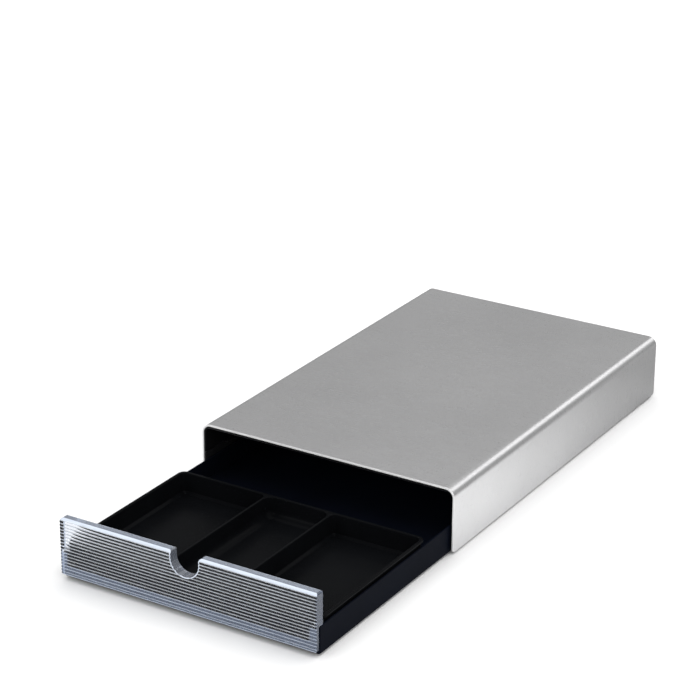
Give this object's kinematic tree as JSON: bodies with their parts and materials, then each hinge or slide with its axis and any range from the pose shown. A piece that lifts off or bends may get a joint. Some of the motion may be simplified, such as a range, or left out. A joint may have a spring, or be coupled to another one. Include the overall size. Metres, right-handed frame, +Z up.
{
  "type": "coffee pod drawer",
  "caption": "Low brushed steel stand with a pull-out drawer: clear ribbed front with a finger notch, organiser tray in front and an open bay behind it.",
  "frame": {"origin": "centre of the whole object's bounding box at the worktop, with the drawer standing 210 mm out", "axes": "+Z up from the worktop, -Y towards the front where the drawer opens, +X to the right seen from the front, X = 0 the plane of symmetry"},
  "size_m": [0.256, 0.61, 0.0612],
  "materials": {
    "shell_steel": "fine brushed stainless steel",
    "chassis_black": "satin black powder coat",
    "liner_black": "fine grained black",
    "tray_navy": "satin, very dark navy",
    "organiser_black": "satin black",
    "panel_clear": "polished clear acrylic with a smoky blue tint at its ends",
    "tape_foam": "matt dark foam tape",
    "foot_rubber": "matt black",
    "glide_plastic": "natural slippery acetal",
    "stop_plastic": "dark grey",
    "screw_steel": "plain steel"
  },
  "bodies": {
    "housing": {"outer_shell": "shell_steel", "base_chassis": "chassis_black", "liner_plate": "liner_black", "left_liner_side": "liner_black", "right_liner_side": "liner_black", "rear_panel": "liner_black", "left_bumper": "foot_rubber", "right_bumper": "foot_rubber", "front_left_foot": "foot_rubber", "front_right_foot": "foot_rubber", "rear_left_foot": "foot_rubber", "rear_right_foot": "foot_rubber", "left_glide_strip": "glide_plastic", "right_glide_strip": "glide_plastic", "left_stop_block": "stop_plastic", "right_stop_block": "stop_plastic", "stop_screws": "screw_steel", "rear_panel_screws": "screw_steel"},
    "drawer": {"front_panel": "panel_clear", "bonding_tape": "tape_foam", "drawer_tray": "tray_navy", "left_shoe": "glide_plastic", "right_shoe": "glide_plastic", "organiser_insert": "organiser_black"}
  },
  "joints": [
    {"name": "drawer_slide", "type": "slide", "parent": "housing", "child": "drawer", "axis": [0, -1, 0], "range_m": [-0.21, 0.052]}
  ]
}
